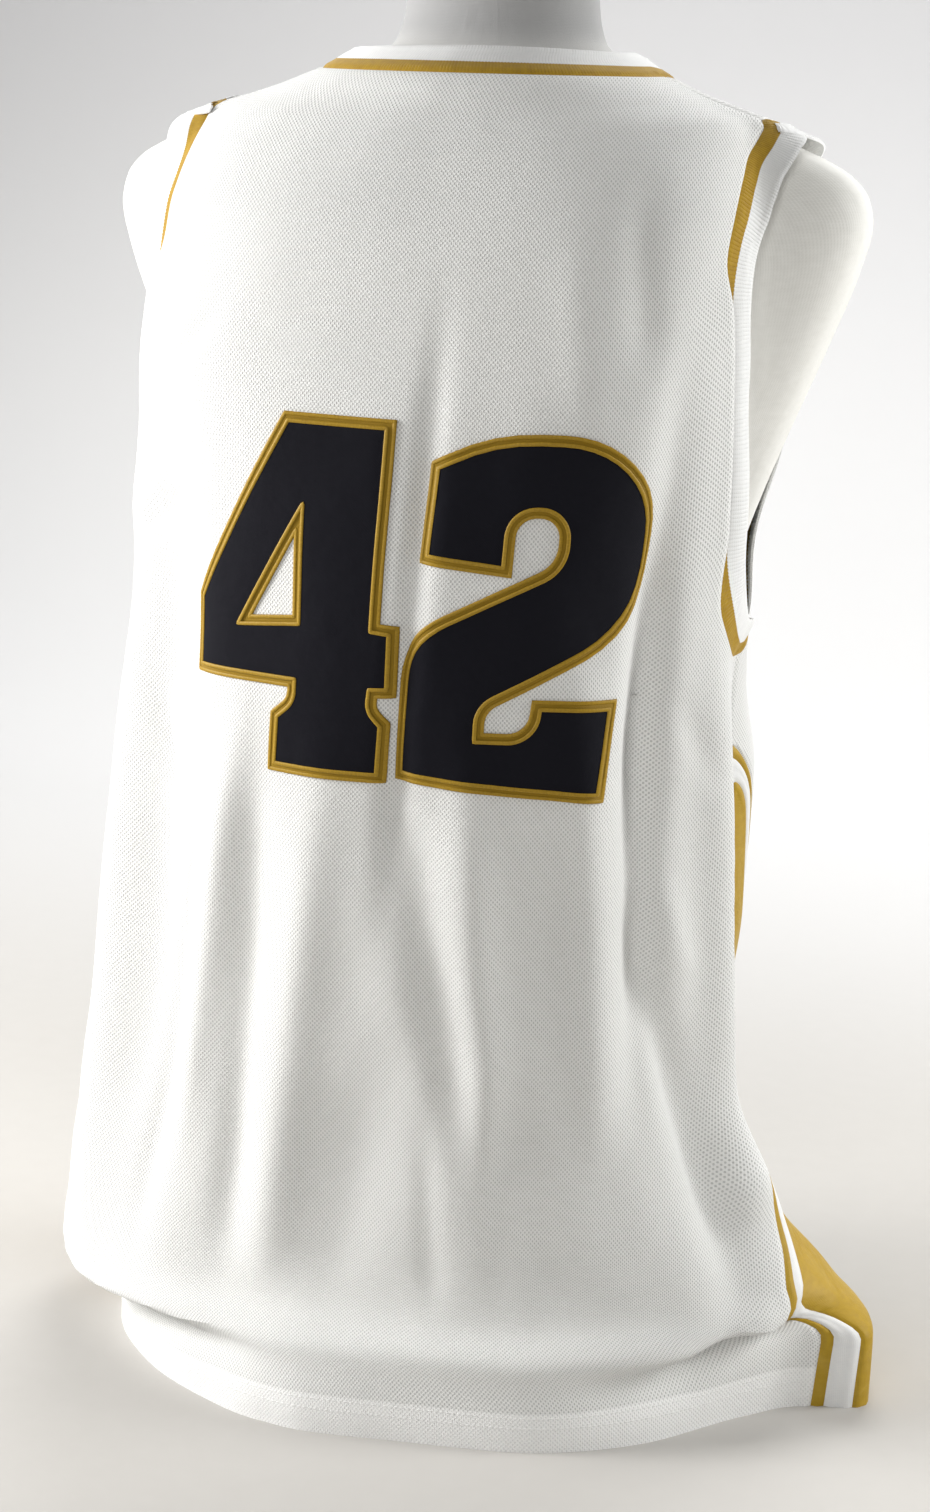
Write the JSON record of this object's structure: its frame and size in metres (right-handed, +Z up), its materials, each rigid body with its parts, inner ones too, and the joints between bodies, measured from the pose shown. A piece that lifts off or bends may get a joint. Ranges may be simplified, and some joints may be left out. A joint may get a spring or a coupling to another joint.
{
  "type": "basketball jersey on a dress form",
  "caption": "White sleeveless game jersey with a back number, rib collar and armhole bands and gold side inserts, worn by an armless torso form and pooling on the table",
  "frame": {"origin": "on the table, under the middle of the whole part's box", "axes": "+Z up, -Y the wearer's front, -X the wearer's right side"},
  "size_m": [0.5266, 0.3078, 0.8711],
  "materials": {
    "white_knit": "matt open mesh knit",
    "white_rib": "matt rib knit",
    "gold_knit": "satin knit with a soft sheen",
    "gold_twill": "tackle twill",
    "dark_twill": "tackle twill, near black",
    "form_cover": "smooth stretched jersey cover",
    "neck_plate": "satin blue-grey"
  },
  "bodies": {
    "root": {"back_panel": "white_knit", "front_panel": "white_knit", "side_gold_right": "gold_knit", "side_gold_left": "gold_knit", "side_white_right": "white_knit", "side_white_left": "white_knit", "side_edge_right": "gold_knit", "side_edge_left": "gold_knit", "armhole_band_right": "white_rib", "armhole_band_left": "white_rib", "neck_band": "white_rib", "number_four_base": "gold_twill", "number_four_top": "dark_twill", "number_two_base": "gold_twill", "number_two_top": "dark_twill", "dress_form": "form_cover", "neck_cap": "neck_plate"}
  },
  "joints": []
}
